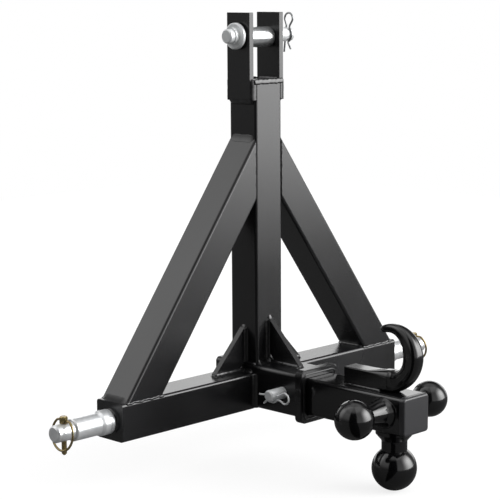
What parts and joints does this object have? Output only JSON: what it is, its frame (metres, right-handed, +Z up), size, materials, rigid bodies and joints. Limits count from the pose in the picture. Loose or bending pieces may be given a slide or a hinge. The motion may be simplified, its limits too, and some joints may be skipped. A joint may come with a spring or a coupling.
{
  "type": "three point receiver hitch",
  "caption": "Welded square-tube tractor hitch frame with a braced post, receiver tube, lower link pins and a pinned ball mount with tow balls and a hook.",
  "frame": {"origin": "middle of the axis through the two lower link pins, inside the receiver tube", "axes": "+X along the crossbar and the lower link axis, toward the viewer's right when the receiver mouth faces the viewer; +Y along the receiver tube, from its mouth toward the tractor; +Z up the post toward the top link"},
  "size_m": [0.7188, 0.338, 0.6085],
  "materials": {
    "black_powder_coat": "satin black powder coat",
    "bright_zinc": "bright zinc plate",
    "yellow_zinc": "yellow zinc plate"
  },
  "bodies": {
    "frame": {"receiver_tube": "black_powder_coat", "mouth_collar": "black_powder_coat", "left_crossbar": "black_powder_coat", "right_crossbar": "black_powder_coat", "left_end_plate": "black_powder_coat", "right_end_plate": "black_powder_coat", "centre_post": "black_powder_coat", "post_cap": "black_powder_coat", "left_brace": "black_powder_coat", "right_brace": "black_powder_coat", "left_gusset": "black_powder_coat", "right_gusset": "black_powder_coat", "front_gusset": "black_powder_coat", "left_clevis_plate": "black_powder_coat", "right_clevis_plate": "black_powder_coat", "shank": "black_powder_coat", "shank_end_plate": "black_powder_coat", "left_ball": "black_powder_coat", "right_ball": "black_powder_coat", "bottom_ball": "black_powder_coat", "tow_hook": "black_powder_coat", "left_link_pin": "bright_zinc", "right_link_pin": "bright_zinc", "left_lynch_pin": "yellow_zinc", "right_lynch_pin": "yellow_zinc"},
    "top_pin": {"top_link_pin": "bright_zinc", "top_clip": "bright_zinc"},
    "sleeve": {"top_sleeve": "bright_zinc"},
    "receiver_pin": {"hitch_pin": "bright_zinc", "hitch_clip": "bright_zinc"},
    "left_ring": {"left_lynch_ring": "yellow_zinc"},
    "right_ring": {"right_lynch_ring": "yellow_zinc"}
  },
  "joints": [
    {"name": "top_pin_turn", "type": "hinge", "parent": "frame", "child": "top_pin", "pos_m": [0, 0, 0.4792], "axis": [1, 0, 0], "continuous": true},
    {"name": "sleeve_turn", "type": "hinge", "parent": "frame", "child": "sleeve", "pos_m": [0, 0, 0.4769], "axis": [1, 0, 0], "continuous": true},
    {"name": "hitch_pin_turn", "type": "hinge", "parent": "frame", "child": "receiver_pin", "pos_m": [0, -0.077, 0.0065], "axis": [1, 0, 0], "range_deg": [-110, 110]},
    {"name": "left_ring_swing", "type": "hinge", "parent": "frame", "child": "left_ring", "pos_m": [-0.3425, 0, 0.015], "axis": [0.0349, 0.9994, 0], "range_deg": [0, 150]},
    {"name": "right_ring_swing", "type": "hinge", "parent": "frame", "child": "right_ring", "pos_m": [0.3425, 0, 0.015], "axis": [0.1392, -0.9903, 0], "range_deg": [0, 150]}
  ]
}
